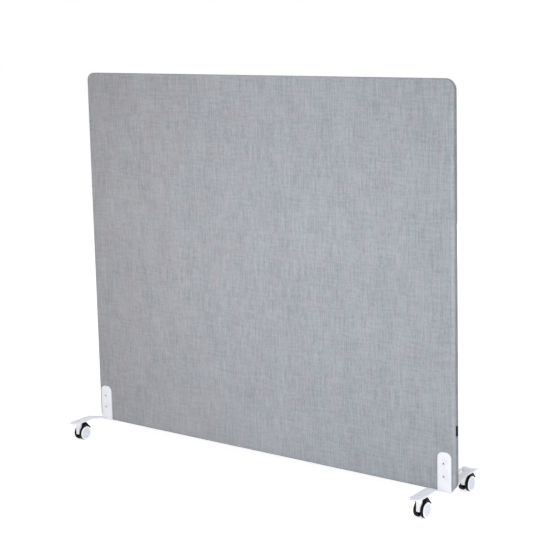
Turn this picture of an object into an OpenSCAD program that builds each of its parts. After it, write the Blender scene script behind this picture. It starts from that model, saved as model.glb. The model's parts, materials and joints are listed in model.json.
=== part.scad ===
// Rolling partition: an upholstered panel on two bent sheet feet with twin-wheel castors.
// The floor is z = 0, x runs along the panel and the castors' front arms point to -y.
// Millimetres. The origin lies on the floor, under the middle of the whole object.

/* [Panel] */
// Width of the panel
panel_w = 1600; // [900:10:2000]
// Height of the panel
panel_h = 1350; // [800:10:1800]
// Thickness of the panel
panel_t = 30; // [28:1:45]
// Radius of the panel's corners, seen from the front
corner_r = 45; // [30:1:55]
// Radius of the soft roll round the panel's edge
edge_r = 10; // [8:0.5:13]

/* [Upholstery] */
// Thickness of the cover fabric
cover_t = 1.2; // [0.8:0.1:1.6]
// Thickness of the wadding under the fabric
wadding_t = 3; // [2:0.5:5]
// Height of the blank woven tag on the right edge
tag_h = 35; // [20:1:50]
// Width of the tag across the panel's edge
tag_w = 8; // [5:0.5:8]
// Thickness of the tag
tag_t = 0.8; // [0.4:0.1:1.5]
// Height of the tag's middle above the panel's lower edge
tag_rise = 206; // [100:1:400]

/* [Inner frame] */
// Width of the two upright timbers
stile_w = 62; // [60:1:90]
// Width of the two cross timbers
rail_w = 62; // [60:1:90]
// Gap between the core board and the timbers
core_gap = 0.3; // [0.1:0.1:0.8]
// Diameter of the dowels in the frame's corners
dowel_d = 10; // [6:1:12]
// Length of a dowel
dowel_l = 60; // [40:2:80]
// Distance of the outer dowel from the panel's upper or lower edge
dowel_edge = 16; // [14:1:18]
// Spacing of the two dowels in a corner
dowel_pitch = 20; // [14:1:22]

/* [Feet] */
// Thickness of the feet's sheet steel
sheet_t = 4; // [3:0.5:5]
// Inner radius of the bend at the upstand's root
bend_r = 3; // [2:0.5:5]
// Width of the upstand on the panel's face
upstand_w = 51; // [40:1:60]
// Height of the upstand above the panel's lower edge
upstand_h = 133; // [120:1:160]
// Radius of the upstand's two top corners
upstand_r = 20; // [8:1:20]
// Distance from the panel's end to the upstand
upstand_inset = 12; // [11:1:25]
// Width of a foot's front arm
arm_w = 42; // [36:1:46]
// Width of a foot's rear arm
rear_arm_w = 53; // [48:1:60]
// Reach of the front arms ahead of the panel's front face
front_reach = 120; // [115:1:140]
// Reach of the rear arms behind the panel's front face
rear_reach = 258; // [250:1:300]
// Radius of the rounded ends of the front arms
arm_end_r = 17; // [8:1:18]
// Radius of the rear arms' rounded corner
rear_corner_r = 12; // [5:1:20]
// Radius of the rear arms' tight corner
tip_r = 4; // [2:1:8]
// Slit between the right front arm and its upstand
relief_w = 1; // [0.5:0.5:3]
// Offset of the left front arm outward from its upstand
left_offset = 29; // [25:1:35]
// Distance ahead of the panel's front face at which the left arm leaves its shoulder
shoulder_ahead = 28; // [24:1:34]
// Length of that shoulder's outer side
shoulder_side = 20; // [14:1:26]
// Distance behind the panel's front face at which the shoulder ends
shoulder_back = 29; // [20:1:40]
// Distance inward from the upstand's outer side to the shoulder's end
shoulder_step = 5; // [2:1:10]
// Length of the rear arms' straight end behind their taper
rear_straight = 86; // [70:1:100]
// Distance along the taper over which it curves into the straight end
taper_blend = 20; // [10:1:30]

/* [Foot screws] */
// Thread diameter of the screws through the upstands
screw_d = 6; // [4:0.5:7]
// Length of those screws under the head
screw_l = 20; // [16:1:24]
// Height of the lower screw above the panel's lower edge
screw_low = 52; // [47:1:60]
// Spacing of the two screws in an upstand
screw_pitch = 44; // [25:1:50]
// Outer diameter of the threaded inserts in the uprights
insert_d = 10; // [9:0.5:12]
// Length of a threaded insert
insert_l = 14; // [10:0.5:15]

/* [Castors] */
// Diameter of a wheel over its tread
wheel_d = 53; // [50:0.5:56]
// Width of one wheel
wheel_w = 13.5; // [12:0.5:15]
// Width of the housing between the two wheels
web_w = 12.6; // [12:0.2:14]
// Side gap between the housing and a wheel
wheel_gap = 0.7; // [0.4:0.1:1.2]
// Distance of the axle behind the swivel's centre line
trail = 18; // [17:0.5:20]
// Height of a castor's head, from the top of its wheels to the foot's underside
head_h = 19; // [17:0.5:23]
// Distance of the front swivels from the front arms' ends
front_stem_edge = 37; // [32:1:44]
// Distance of the rear swivels from the rear arms' ends
rear_stem_edge = 45; // [38:1:52]
// Diameter of the axle
axle_d = 6; // [5:0.5:7]
// Diameter of the swivel pintle
pintle_d = 8; // [7.5:0.5:9]
// Diameter of the housing's collar round the pintle
collar_d = 20; // [18:0.5:21]
// Thread diameter of the screw down into the pintle
stem_screw_d = 5; // [4:0.5:5]
// Radial thickness of a wheel's tread ring
tread_t = 6.8; // [5:0.2:9]
// Thickness of the white face that closes a wheel, at its rim
face_t = 2; // [1.6:0.1:2.4]
// Distance of the white face's edge under the tread
face_edge = 0.8; // [0.6:0.1:1.5]
// Width of the ring that a wheel's face has round its disc
face_ring = 6; // [5:0.2:8]
// Depth of the recess for the disc
cap_depth = 1.6; // [1:0.1:2]
// Thickness of the white face behind the disc
face_floor = 1.4; // [1:0.1:1.8]

/* [Brake levers] */
// Thickness of the lever's roof over the wheels at its tip
lever_t = 1.8; // [1.4:0.1:2.4]
// Free gap between the released lever and the treads
lever_gap = 2.6; // [2.5:0.1:3]
// Diameter of the trunnions that the lever turns on
trunnion_d = 4; // [3:0.5:4.5]

/* [Clearances] */
// Radial clearance of a turning fit
running = 0.05; // [0.02:0.01:0.1]
// Radial clearance of a hole that a screw passes
hole_clear = 0.3; // [0.2:0.1:0.5]
// Radial clearance of the disc and of the white face in their recesses
cap_clear = 0.2; // [0.1:0.1:0.4]
// Gap between the swivelling housing and the fixed flange above it
thrust_gap = 0.3; // [0.2:0.1:0.5]

/* [Hidden] */
$fn = 48;

CASTORS = ["front_left", "rear_left", "front_right", "rear_right"];
SIDES = ["left", "right"];

fabric_grey = "#9fa4a9";
wadding_white = "#e6e4de";
board_tan = "#c9b48c";
timber = "#d3b27a";
powder_white = "#f2f2f3";
bright_steel = "#b9bdc2";
brass = "#c8a952";
nylon_white = "#f0f0f2";
nylon_black = "#1b1b1e";
disc_grey = "#d3dae4";
tag_black = "#141416";

// Small overlap that lets a cut run clear through a face
cut = 1;

// Heights
axle_z = wheel_d / 2;
castor_h = wheel_d + head_h;
foot_top = castor_h + sheet_t;

// Castor parts
web_half = web_w / 2;
wheel_in = web_half + wheel_gap;
castor_half = wheel_in + wheel_w;
flange_t = 2;
flange_d = 18;
pintle_depth = 34;
tread_w = wheel_w - face_t;
face_seat = wheel_w - cap_depth - face_floor;
face_r = wheel_d / 2 - face_edge;
face_round = face_t * 0.4;
recess_r = face_r - face_ring;
cap_r = recess_r - cap_clear;
tread_round = 2.5;
tread_edge = 0.6;
hub_r = 9;
disc_t = 2;
axle_reach = face_seat - 0.4;
collar_bottom = wheel_d + 1.5;
housing_top = castor_h - flange_t - thrust_gap;
housing_front = collar_d / 2;
housing_skirt = axle_z + 3.5;

// Brake lever, measured from the axle
lever_inner = wheel_d / 2 + lever_gap;
lever_peak = [3, castor_h - axle_z - 2.5];
lever_pivot = [2, lever_peak[1] - 10];
lever_tip_angle = 30;
lever_toe_angle = 118;
lever_outer = lever_inner + lever_t;
ear_r = trunnion_d / 2 + 2.2;
ear_clear = 0.7;
trunnion_reach = web_half + 7;

// Feet, measured inward from the panel's end
upstand_far = upstand_inset + upstand_w;
arm_near = upstand_far + relief_w;
arm_far = arm_near + arm_w;
rear_near = arm_far - rear_arm_w;
stem_inset = arm_near + arm_w / 2;
left_arm_near = upstand_inset - left_offset;
left_arm_far = left_arm_near - arm_w;
left_stem_inset = left_arm_near - arm_w / 2;
front_stem = front_reach - front_stem_edge;
rear_stem = rear_reach - rear_stem_edge;
taper_end = rear_reach - rear_straight;

// The origin lies under the middle of the whole object
half_w = panel_w / 2;
left_limit = min(left_arm_far, left_stem_inset - castor_half);
rear_limit = max(rear_reach, rear_stem + trail + lever_outer * cos(lever_tip_angle));
panel_x = (-left_limit - tag_t) / 2;
front_y = (front_reach - rear_limit) / 2;

// Castors: side of the panel, inset from its end, distance from its front face
castor_side = [-1, -1, 1, 1];
castor_inset = [left_stem_inset, stem_inset, stem_inset, stem_inset];
castor_y = [-front_stem, rear_stem, -front_stem, rear_stem];

// Upholstery layers, as depths under the fabric's face
frame_inset = cover_t + wadding_t;
frame_t = panel_t - 2 * frame_inset;
straight_w = panel_w - 2 * corner_r;
straight_h = panel_h - 2 * corner_r;
inner_w = panel_w - 2 * (frame_inset + stile_w);
inner_h = panel_h - 2 * (frame_inset + rail_w);

module placed() {
    translate([panel_x, front_y, 0]) children();
}

// ---- Panel ----

// Section of the rim, from the corner's centre line outward, one layer deep
module rim_section(depth) {
    r = edge_r - depth;
    half = panel_t / 2 - depth;
    reach = corner_r - depth;
    translate([0, -half]) square([reach - r, 2 * half]);
    translate([0, r - half]) square([reach, 2 * (half - r)]);
    for (s = [-1, 1]) translate([reach - r, s * (half - r)]) circle(r);
}

// The section given as a child, carried round the panel's four sides and corners
module rim() {
    for (side = [0:3]) {
        across = side % 2 == 0 ? straight_w : straight_h;
        along = side % 2 == 0 ? straight_h : straight_w;
        rotate(90 * side) translate([across / 2, 0, 0]) {
            rotate([90, 0, 0]) linear_extrude(along, center = true) children();
            translate([0, along / 2, 0]) rotate_extrude(angle = 90) children();
        }
    }
}

// Stands a form drawn flat, with its face up, upright in the panel's place
module upright() {
    placed() translate([0, panel_t / 2, foot_top + panel_h / 2]) rotate([90, 0, 0]) children();
}

// The whole panel down to one layer, lying flat with its front face up
module panel_block(depth) {
    rim() rim_section(depth);
    cube([straight_w, straight_h, panel_t - 2 * depth], center = true);
}

// The front half of the layer between two depths, lying flat
module half_layer(outer, inner) {
    rim() intersection() {
        difference() {
            rim_section(outer);
            rim_section(inner);
        }
        square([corner_r, panel_t / 2]);
    }
    translate([-straight_w / 2, -straight_h / 2, panel_t / 2 - inner])
        cube([straight_w, straight_h, inner - outer]);
}

// Places of the screws on the panel, in the flat drawing
module at_foot_screws() {
    for (side = [-1, 1], i = [0, 1])
        translate([side * (half_w - upstand_inset - upstand_w / 2), screw_low + i * screw_pitch - panel_h / 2, 0])
            children();
}

module screw_clearance() {
    at_foot_screws() cylinder(d = screw_d + 2 * hole_clear, h = panel_t);
}

module front_cover() {
    color(fabric_grey) upright() difference() {
        half_layer(0, cover_t);
        screw_clearance();
    }
}

module rear_cover() {
    color(fabric_grey) upright() mirror([0, 0, 1]) half_layer(0, cover_t);
}

module front_wadding() {
    color(wadding_white) upright() difference() {
        half_layer(cover_t, frame_inset);
        screw_clearance();
    }
}

module rear_wadding() {
    color(wadding_white) upright() mirror([0, 0, 1]) half_layer(cover_t, frame_inset);
}

module core_board() {
    color(board_tan) upright() cube([inner_w - 2 * core_gap, inner_h - 2 * core_gap, frame_t], center = true);
}

// Two dowels across each corner joint of the frame
module at_dowels() {
    for (side = [-1, 1], level = [-1, 1], row = [0, 1])
        translate([side * inner_w / 2, level * (panel_h / 2 - dowel_edge - row * dowel_pitch), 0])
            rotate([0, 90, 0]) children();
}

module dowel() {
    cylinder(d = dowel_d, h = dowel_l, center = true);
}

module frame_dowels() {
    color(timber) upright() at_dowels() dowel();
}

module insert_body() {
    translate([0, 0, frame_t / 2 - insert_l]) cylinder(d = insert_d, h = insert_l);
}

module stile(side) {
    color(timber) upright() difference() {
        intersection() {
            panel_block(frame_inset);
            translate([side * (half_w - frame_inset - stile_w / 2), 0, 0])
                cube([stile_w, panel_h, panel_t], center = true);
        }
        at_dowels() dowel();
        at_foot_screws() insert_body();
    }
}

module rail(level) {
    color(timber) upright() difference() {
        intersection() {
            panel_block(frame_inset);
            translate([0, level * (panel_h / 2 - frame_inset - rail_w / 2), 0])
                cube([inner_w, rail_w, panel_t], center = true);
        }
        at_dowels() dowel();
    }
}

module side_tag() {
    color(tag_black) placed() translate([half_w, panel_t / 2 - tag_w / 2, foot_top + tag_rise - tag_h / 2])
        cube([tag_t, tag_w, tag_h]);
}

module threaded_inserts() {
    color(brass) upright() at_foot_screws() difference() {
        insert_body();
        translate([0, 0, frame_t / 2 - insert_l - cut]) cylinder(d = screw_d, h = insert_l + 2 * cut);
    }
}

// ---- Feet ----

// A button head with a hex socket, its seat at z = 0
module button_head(d, rise, key) {
    difference() {
        intersection() {
            cylinder(d = d, h = rise);
            translate([0, 0, rise - d * 0.72]) sphere(d * 0.72);
        }
        translate([0, 0, rise * 0.45]) cylinder(d = key, h = rise, $fn = 6);
    }
}

module foot_screws() {
    color(bright_steel) upright() at_foot_screws() translate([0, 0, panel_t / 2 + sheet_t]) {
        button_head(screw_d * 1.8, screw_d * 0.55, screw_d * 0.7);
        translate([0, 0, -screw_l]) cylinder(d = screw_d, h = screw_l);
    }
}

// Plan of what both feet have under and behind the panel, drawn inward from the panel's end
module rear_plan() {
    slope = (rear_near - upstand_inset) / (taper_end - bend_r);
    straight_y = taper_end + taper_blend;
    polygon(concat(
        [[upstand_inset, bend_r], [arm_far, bend_r], [arm_far, straight_y], [rear_near, straight_y]],
        [for (t = [0.25:0.25:1]) [rear_near - slope * taper_blend * t * t, straight_y - 2 * taper_blend * t]]
    ));
    translate([rear_near, taper_end]) square([rear_arm_w, rear_reach - taper_end - rear_corner_r]);
    translate([rear_near + tip_r, taper_end])
        square([rear_arm_w - tip_r - rear_corner_r, rear_reach - taper_end]);
    translate([arm_far - rear_corner_r, rear_reach - rear_corner_r]) circle(rear_corner_r);
    translate([rear_near, taper_end]) square([tip_r, rear_reach - taper_end - tip_r]);
    translate([rear_near + tip_r, rear_reach - tip_r]) circle(tip_r);
}

// Plan of a front arm from its rounded end back to y = root
module arm_plan(near, root) {
    far = near + arm_w;
    translate([near, arm_end_r - front_reach]) square([arm_w, root + front_reach - arm_end_r]);
    translate([near + arm_end_r, -front_reach]) square([arm_w - 2 * arm_end_r, arm_end_r]);
    for (x = [near + arm_end_r, far - arm_end_r]) translate([x, arm_end_r - front_reach]) circle(arm_end_r);
}

// The left foot's arm stands outside its upstand, so a shoulder joins the two
module shoulder_plan() {
    polygon([
        [left_arm_far, -shoulder_ahead], [left_arm_far, shoulder_side - shoulder_ahead],
        [upstand_inset + shoulder_step, shoulder_back], [upstand_far, shoulder_back],
        [upstand_far, bend_r], [upstand_inset - relief_w, bend_r], [left_arm_near, -shoulder_ahead]
    ]);
}

// Upstand and its bend, drawn inward from the panel's end
module upstand() {
    translate([upstand_inset, bend_r, foot_top + bend_r]) rotate([90, 0, 90]) linear_extrude(upstand_w)
        intersection() {
            difference() {
                circle(bend_r + sheet_t);
                circle(bend_r);
            }
            translate([-bend_r - sheet_t, -bend_r - sheet_t]) square(bend_r + sheet_t);
        }
    translate([upstand_inset, 0, foot_top]) rotate([90, 0, 0]) linear_extrude(sheet_t) difference() {
        union() {
            translate([0, bend_r]) square([upstand_w, upstand_h - bend_r - upstand_r]);
            translate([upstand_r, bend_r]) square([upstand_w - 2 * upstand_r, upstand_h - bend_r]);
            for (x = [upstand_r, upstand_w - upstand_r]) translate([x, upstand_h - upstand_r]) circle(upstand_r);
        }
        for (i = [0, 1]) translate([upstand_w / 2, screw_low + i * screw_pitch])
            circle(d = screw_d + 2 * hole_clear);
    }
}

// A foot drawn inward from the left end of the panel: plate plan as children
module foot(front_inset) {
    color(powder_white) {
        upstand();
        translate([0, 0, castor_h]) difference() {
            linear_extrude(sheet_t) children();
            for (p = [[front_inset, -front_stem], [stem_inset, rear_stem]]) translate([p[0], p[1], -cut])
                cylinder(d = stem_screw_d + 2 * hole_clear, h = sheet_t + 2 * cut);
        }
    }
}

module foot_left() {
    placed() translate([-half_w, 0, 0]) foot(left_stem_inset) {
        arm_plan(left_arm_far, -shoulder_ahead);
        shoulder_plan();
        rear_plan();
    }
}

module foot_right() {
    placed() translate([half_w, 0, 0]) mirror([1, 0, 0]) foot(stem_inset) {
        arm_plan(arm_near, bend_r);
        rear_plan();
    }
}

// ---- Castors ----

// Places a form whose swivel centre line is the z axis on castor number i
module at_castor(i) {
    placed() translate([castor_side[i] * (half_w - castor_inset[i]), castor_y[i], 0]) children();
}

// Stands a form drawn in (back, up) from the axle across the castor, width w
module across(w) {
    translate([-w / 2, trail, axle_z]) rotate([90, 0, 90]) linear_extrude(w) children();
}

// Turns a form drawn round z into one round the axle, on side s
module on_axle(s) {
    translate([0, trail, axle_z]) rotate([0, s * 90, 0]) children();
}

module stem_screws() {
    color(powder_white) for (i = [0:3]) at_castor(i) translate([0, 0, foot_top]) {
        button_head(stem_screw_d * 2.6, stem_screw_d * 0.6, stem_screw_d * 0.6);
        translate([0, 0, -sheet_t - 12]) cylinder(d = stem_screw_d, h = sheet_t + 12);
    }
}

module pintle(i) {
    color(bright_steel) at_castor(i) difference() {
        union() {
            translate([0, 0, castor_h - flange_t]) cylinder(d = flange_d, h = flange_t);
            translate([0, 0, castor_h - pintle_depth]) cylinder(d = pintle_d, h = pintle_depth);
        }
        translate([0, 0, castor_h - 12]) cylinder(d = stem_screw_d, h = 12 + cut);
    }
}

// Side view of the housing's web, measured from the axle
module web_side() {
    circle(10);
    intersection() {
        circle(wheel_d / 2 - 1);
        translate([-wheel_d, housing_skirt - axle_z]) square([2 * wheel_d, wheel_d]);
    }
    translate([-trail - housing_front, housing_skirt - axle_z])
        square([2 * housing_front, housing_top - housing_skirt]);
    translate([lever_pivot[0] - ear_r, 0]) square([2 * ear_r, lever_pivot[1]]);
    translate(lever_pivot) circle(ear_r);
}

module housing(i) {
    color(nylon_white) at_castor(i) difference() {
        union() {
            across(web_w) web_side();
            translate([0, 0, collar_bottom]) cylinder(d = collar_d, h = housing_top - collar_bottom);
            across(2 * trunnion_reach) translate(lever_pivot) circle(d = trunnion_d);
        }
        across(web_w + 2 * cut) circle(d = axle_d);
        translate([0, 0, castor_h - pintle_depth - thrust_gap])
            cylinder(d = pintle_d + 2 * running, h = pintle_depth);
    }
}

module axle(i) {
    color(bright_steel) at_castor(i) across(2 * (wheel_in + axle_reach)) circle(d = axle_d);
}

// Hub, disc and tread ring of a wheel in one piece, open on the housing's side
module wheel(i, s) {
    pocket_r = wheel_d / 2 - tread_t;
    color(nylon_black) at_castor(i) on_axle(s) translate([0, 0, wheel_in]) rotate_extrude() difference() {
        union() {
            square([wheel_d / 2 - tread_round, tread_w]);
            translate([0, tread_round]) square([wheel_d / 2, tread_w - tread_round - tread_edge]);
            translate([0, tread_round]) square([wheel_d / 2 - tread_edge, tread_w - tread_round]);
            translate([wheel_d / 2 - tread_round, tread_round]) circle(tread_round);
            translate([wheel_d / 2 - tread_edge, tread_w - tread_edge]) circle(tread_edge);
        }
        translate([0, -cut]) square([axle_d / 2 + running, tread_w + 2 * cut]);
        translate([hub_r, -cut]) square([pocket_r - hub_r, face_seat - disc_t + cut]);
        translate([0, face_seat]) square([recess_r + face_ring / 3 + cap_clear, tread_w]);
    }
}

// The white face: a ring over the wheel's edge, set back in its middle for the disc
module face(i, s) {
    color(nylon_white) at_castor(i) on_axle(s) translate([0, 0, wheel_in]) rotate_extrude() difference() {
        union() {
            translate([0, face_seat]) square([recess_r + face_ring / 3, wheel_w - face_seat]);
            translate([0, tread_w]) square([face_r - face_round, face_t]);
            translate([0, tread_w]) square([face_r, face_t - face_round]);
            translate([face_r - face_round, wheel_w - face_round]) circle(face_round);
        }
        translate([0, wheel_w - cap_depth]) square([recess_r, cap_depth + cut]);
    }
}

module cap(i, s) {
    dish = 0.6;
    color(disc_grey) at_castor(i) on_axle(s) translate([0, 0, wheel_in + wheel_w - cap_depth]) rotate_extrude()
        polygon([[0, 0], [cap_r, 0], [cap_r, cap_depth - 0.2], [cap_r - 0.8, cap_depth], [cap_r - 4, cap_depth],
            [cap_r - 7, cap_depth - dish], [4, cap_depth - dish], [2.5, cap_depth], [0, cap_depth]]);
}

module brake_lever(i) {
    tip = lever_outer * [cos(lever_tip_angle), sin(lever_tip_angle)];
    toe = (lever_outer + 0.7) * [cos(lever_toe_angle), sin(lever_toe_angle)];
    slot = ear_r + ear_clear;
    color(nylon_black) at_castor(i) difference() {
        across(2 * castor_half) difference() {
            polygon([[0, 0], tip, lever_peak, toe]);
            circle(lever_inner);
        }
        across(2 * wheel_in) {
            translate(lever_pivot) circle(slot);
            translate([lever_pivot[0] - slot, 0]) square([2 * slot, lever_pivot[1]]);
            translate([-trail - housing_front - ear_clear, 0]) square([2 * (housing_front + ear_clear), castor_h]);
        }
        across(2 * (trunnion_reach + 0.3)) translate(lever_pivot) circle(d = trunnion_d + 2 * running);
        translate([0, 0, axle_z]) cylinder(d = collar_d + 2.4, h = castor_h);
    }
}

// ---- Nodes ----

front_cover();
rear_cover();
front_wadding();
rear_wadding();
core_board();
stile(-1);  // left_stile
stile(1);  // right_stile
rail(1);  // top_rail
rail(-1);  // bottom_rail
frame_dowels();
side_tag();
threaded_inserts();
foot_left();
foot_right();
foot_screws();
stem_screws();
for (i = [0:3]) {
    pintle(i);
    housing(i);
    axle(i);
    brake_lever(i);
    for (j = [0, 1]) {
        wheel(i, 2 * j - 1);
        face(i, 2 * j - 1);
        cap(i, 2 * j - 1);
    }
}
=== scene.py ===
"""Rolling partition: an upholstered panel on sheet-steel feet with twin-wheel castors.

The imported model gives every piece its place. This script dresses it: the fabric covers, the edge
tag and the castors' wheels are modelled anew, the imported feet, screws, housings and levers are
copied with softened edges, and each finish is built from procedural nodes.
All lengths are in metres unless a name says otherwise.
"""

from __future__ import annotations

import json
import logging
import math
from dataclasses import dataclass, field
from enum import Enum
from typing import Any, Callable, Iterable, Sequence

import bmesh
import bpy
from mathutils import Matrix, Vector

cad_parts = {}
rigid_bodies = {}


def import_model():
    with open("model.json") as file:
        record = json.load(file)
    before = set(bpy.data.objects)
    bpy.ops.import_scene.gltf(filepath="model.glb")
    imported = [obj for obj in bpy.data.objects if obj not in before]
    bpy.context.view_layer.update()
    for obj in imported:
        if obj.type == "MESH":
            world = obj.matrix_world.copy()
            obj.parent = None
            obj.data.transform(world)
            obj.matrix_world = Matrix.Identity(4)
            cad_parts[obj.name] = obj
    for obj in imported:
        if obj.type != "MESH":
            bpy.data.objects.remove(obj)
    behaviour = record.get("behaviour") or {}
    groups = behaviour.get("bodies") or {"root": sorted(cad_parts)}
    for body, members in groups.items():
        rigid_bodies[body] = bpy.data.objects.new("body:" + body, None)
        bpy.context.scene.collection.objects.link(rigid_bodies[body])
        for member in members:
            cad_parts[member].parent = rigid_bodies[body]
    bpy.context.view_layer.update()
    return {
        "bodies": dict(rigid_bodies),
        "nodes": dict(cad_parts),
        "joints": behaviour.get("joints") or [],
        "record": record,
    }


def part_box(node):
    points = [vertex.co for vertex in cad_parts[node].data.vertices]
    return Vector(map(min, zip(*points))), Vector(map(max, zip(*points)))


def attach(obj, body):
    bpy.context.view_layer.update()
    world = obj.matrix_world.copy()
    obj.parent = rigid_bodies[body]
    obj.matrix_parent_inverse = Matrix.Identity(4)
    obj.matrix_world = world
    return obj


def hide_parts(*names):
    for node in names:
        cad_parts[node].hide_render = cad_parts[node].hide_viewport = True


LOG = logging.getLogger("partition")
MM = 0.001
IMAGE_SIDE = 555
# Two lengths this near to each other count as the same
SAME = 1e-6
# Most of a noise's values lie between these two
NOISE_SPREAD = (0.3, 0.7)

Tree = bpy.types.NodeTree
Node = bpy.types.Node
Socket = bpy.types.NodeSocket
Piece = bpy.types.Object
Span = tuple[float, float]
Triple = tuple[float, float, float]


class Corner(Enum):
    """Where a castor stands, seen from the front."""

    FRONT_LEFT = "front_left"
    REAR_LEFT = "rear_left"
    FRONT_RIGHT = "front_right"
    REAR_RIGHT = "rear_right"


class Worded(Enum):
    """A choice whose name the nodes spell in small letters."""

    @property
    def word(self) -> str:
        """The name as the nodes spell it."""
        return self.name.lower()


class Side(Worded):
    """A wheel's side of its castor."""

    LEFT = -1
    RIGHT = 1


class Half(Worded):
    """Front or rear half of the panel's cover; the value is the way its face looks along y."""

    FRONT = -1
    REAR = 1


# ---------------------------------------------------------------- finishes


def linear(hex_colour: str) -> tuple[float, float, float, float]:
    """Turn an sRGB hex colour into linear RGBA.

    Args:
        hex_colour: Six hex digits, with or without a leading #.

    Returns:
        Linear red, green, blue and an alpha of 1.
    """
    digits = hex_colour.lstrip("#")
    channels = [int(digits[i : i + 2], 16) / 255 for i in (0, 2, 4)]
    low = [c / 12.92 if c <= 0.04045 else ((c + 0.055) / 1.055) ** 2.4 for c in channels]
    return (low[0], low[1], low[2], 1.0)


def add_node(tree: Tree, kind: str, links: dict[Any, Any] | None = None, **settings: Any) -> Node:
    """Add one node to a tree.

    Args:
        tree: The node tree.
        kind: The node's type name.
        links: Inputs by name or number, each a socket to link or a value to set.
        **settings: Attributes of the node.

    Returns:
        The new node.
    """
    node = tree.nodes.new(kind)
    for name, value in settings.items():
        setattr(node, name, value)
    for key, value in (links or {}).items():
        if isinstance(value, bpy.types.NodeSocket):
            tree.links.new(value, node.inputs[key])
        else:
            node.inputs[key].default_value = value
    return node


@dataclass(frozen=True)
class Finish:
    """A surface finish that turns itself into one material.

    Attributes:
        colour: Main colour, sRGB hex.
        shade: Second colour of its mottling, sRGB hex; without one the main colour is plain.
        band: Values of the pattern that show the main colour and the shade.
        roughness: Roughness of the surface.
        rough_span: Roughness where the pattern is low and where it is high, if it varies.
        specular: Level of the reflection at a surface that is no metal.
        metallic: 1 for a bare metal.
        cell_mm: Size of the pattern along x, y and z, in millimetres.
        detail: Octaves of finer noise in the pattern.
        depth_mm: Depth of the relief, in millimetres.
        edge_mm: Radius that sharp edges are shaded with, in millimetres.
    """

    colour: str = "#808080"
    shade: str = ""
    band: Span = NOISE_SPREAD[::-1]
    roughness: float = 0.5
    rough_span: Span | None = None
    specular: float = 0.5
    metallic: float = 0.0
    cell_mm: Triple = (5.0, 5.0, 5.0)
    detail: float = 2.0
    depth_mm: float = 0.02
    edge_mm: float = 0.0

    def material(self) -> bpy.types.Material:
        """Make the finish's material on first use, and give the same one afterwards.

        Returns:
            The material.
        """
        name = type(self).__name__
        made = bpy.data.materials.get(name)
        if made is None:
            made = bpy.data.materials.new(name)
            made.use_nodes = True
            tree = made.node_tree
            tree.nodes.clear()
            own = {
                "Base Color": linear(self.colour),
                "Roughness": self.roughness,
                "Specular IOR Level": self.specular,
                "Metallic": self.metallic,
            }
            shader = add_node(tree, "ShaderNodeBsdfPrincipled", own)
            add_node(tree, "ShaderNodeOutputMaterial", {"Surface": shader.outputs["BSDF"]})
            self.dress(tree, shader, add_node(tree, "ShaderNodeTexCoord").outputs["Object"])
        return made

    def dress(self, tree: Tree, shader: Node, place: Socket) -> None:
        """Mottle the colour and the roughness with the finish's pattern, and lift the surface.

        Args:
            tree: The material's tree.
            shader: Its Principled shader.
            place: Object coordinates.
        """
        pattern = self.pattern(tree, place)
        if self.shade:
            tree.links.new(self.tone(tree, pattern, self.colour, self.shade, self.band), shader.inputs["Base Color"])
        if self.rough_span:
            (start, end), (low, high) = NOISE_SPREAD, self.rough_span
            links = {"Value": pattern, "From Min": start, "From Max": end, "To Min": low, "To Max": high}
            rough = add_node(tree, "ShaderNodeMapRange", links, clamp=False)
            tree.links.new(rough.outputs[0], shader.inputs["Roughness"])
        self.relief(tree, shader, self.height(tree, place, pattern))

    def pattern(self, tree: Tree, place: Socket) -> Socket:
        """The value that mottles the finish, from 0 to 1."""
        return self.grain(tree, place, self.cell_mm, self.detail)

    def height(self, tree: Tree, place: Socket, pattern: Socket) -> Socket:
        """The height of its relief, from 0 to 1: the pattern itself, unless the finish has one of its own."""
        return pattern

    def grain(self, tree: Tree, place: Socket, cells: Sequence[float], detail: float = 2.0) -> Socket:
        """Noise stretched to a real size.

        Args:
            tree: The material's tree.
            place: Object coordinates.
            cells: Size of the noise along x, y and z, in millimetres.
            detail: Octaves of finer noise.

        Returns:
            The noise's value, from 0 to 1.
        """
        scaled = add_node(tree, "ShaderNodeMapping", {"Vector": place, "Scale": [1 / (c * MM) for c in cells]})
        links = {"Vector": scaled.outputs[0], "Scale": 1.0, "Detail": detail}
        return add_node(tree, "ShaderNodeTexNoise", links).outputs[0]

    def tone(
        self, tree: Tree, value: Socket, start: str | Socket, end: str | Socket, band: Span
    ) -> Socket:
        """Pass from one colour to another as a value runs through a band.

        Args:
            tree: The material's tree.
            value: The value that drives the mix.
            start: Colour at the band's first value, sRGB hex or a socket.
            end: Colour at its second value.
            band: The two values.

        Returns:
            The mixed colour.
        """
        run = {"Value": value, "From Min": band[0], "From Max": band[1]}
        share = add_node(tree, "ShaderNodeMapRange", run).outputs[0]
        ends = {key: linear(c) if isinstance(c, str) else c for key, c in ((6, start), (7, end))}
        return add_node(tree, "ShaderNodeMix", {0: share, **ends}, data_type="RGBA").outputs[2]

    def relief(self, tree: Tree, shader: Node, height: Socket) -> None:
        """Give the shader its bump, over rounded edges where the finish states their radius.

        Args:
            tree: The material's tree.
            shader: Its Principled shader.
            height: Height from 0 to 1.
        """
        links = {"Height": height, "Distance": self.depth_mm * MM, "Strength": 1.0}
        bump = add_node(tree, "ShaderNodeBump", links)
        if self.edge_mm > 0:
            edge = add_node(tree, "ShaderNodeBevel", {"Radius": self.edge_mm * MM}, samples=6)
            tree.links.new(edge.outputs[0], bump.inputs["Normal"])
        tree.links.new(bump.outputs[0], shader.inputs["Normal"])


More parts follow.
